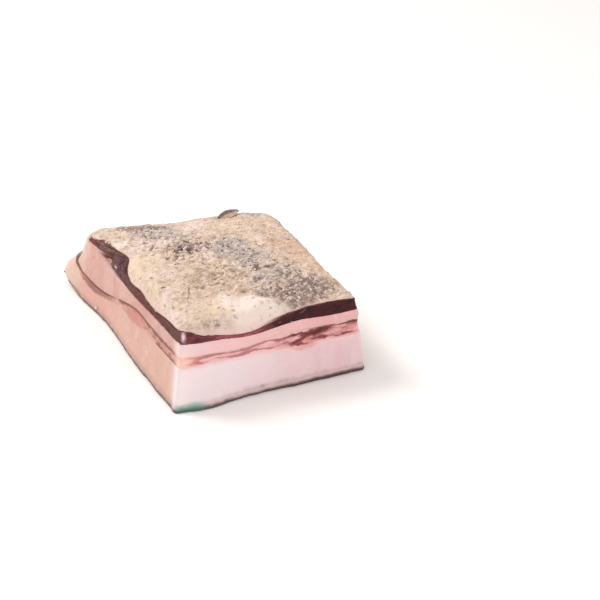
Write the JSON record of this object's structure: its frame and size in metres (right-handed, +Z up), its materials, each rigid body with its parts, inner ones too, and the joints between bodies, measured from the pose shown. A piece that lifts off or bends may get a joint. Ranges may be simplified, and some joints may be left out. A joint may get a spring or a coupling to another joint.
{
  "type": "iberian pork fatback",
  "caption": "Square-cut slab of cured pork fatback lying on its rind, with streaks of lean meat at its cut sides and a rough salted, peppered crust of fat on top.",
  "frame": {"origin": "middle of the plan, on the flat face of the rind that the slab lies on", "axes": "+Z up through the layers, from the rind to the crust; +Y along the slab's longer side, away from the front knife cut; +X along that cut to the right"},
  "size_m": [0.1484, 0.2002, 0.0621],
  "materials": {
    "fat_back": "moist cut fat with a mottled rind",
    "lean_streak": "moist cured lean with streaks of fat",
    "fat_middle": "moist cut fat",
    "lean_top": "dried dark lean",
    "fat_cap": "dry, rough crust with salt and cracked pepper"
  },
  "bodies": {
    "root": {"fat_back": "fat_back", "lean_streak": "lean_streak", "fat_middle": "fat_middle", "lean_top": "lean_top", "fat_cap": "fat_cap"}
  },
  "joints": []
}
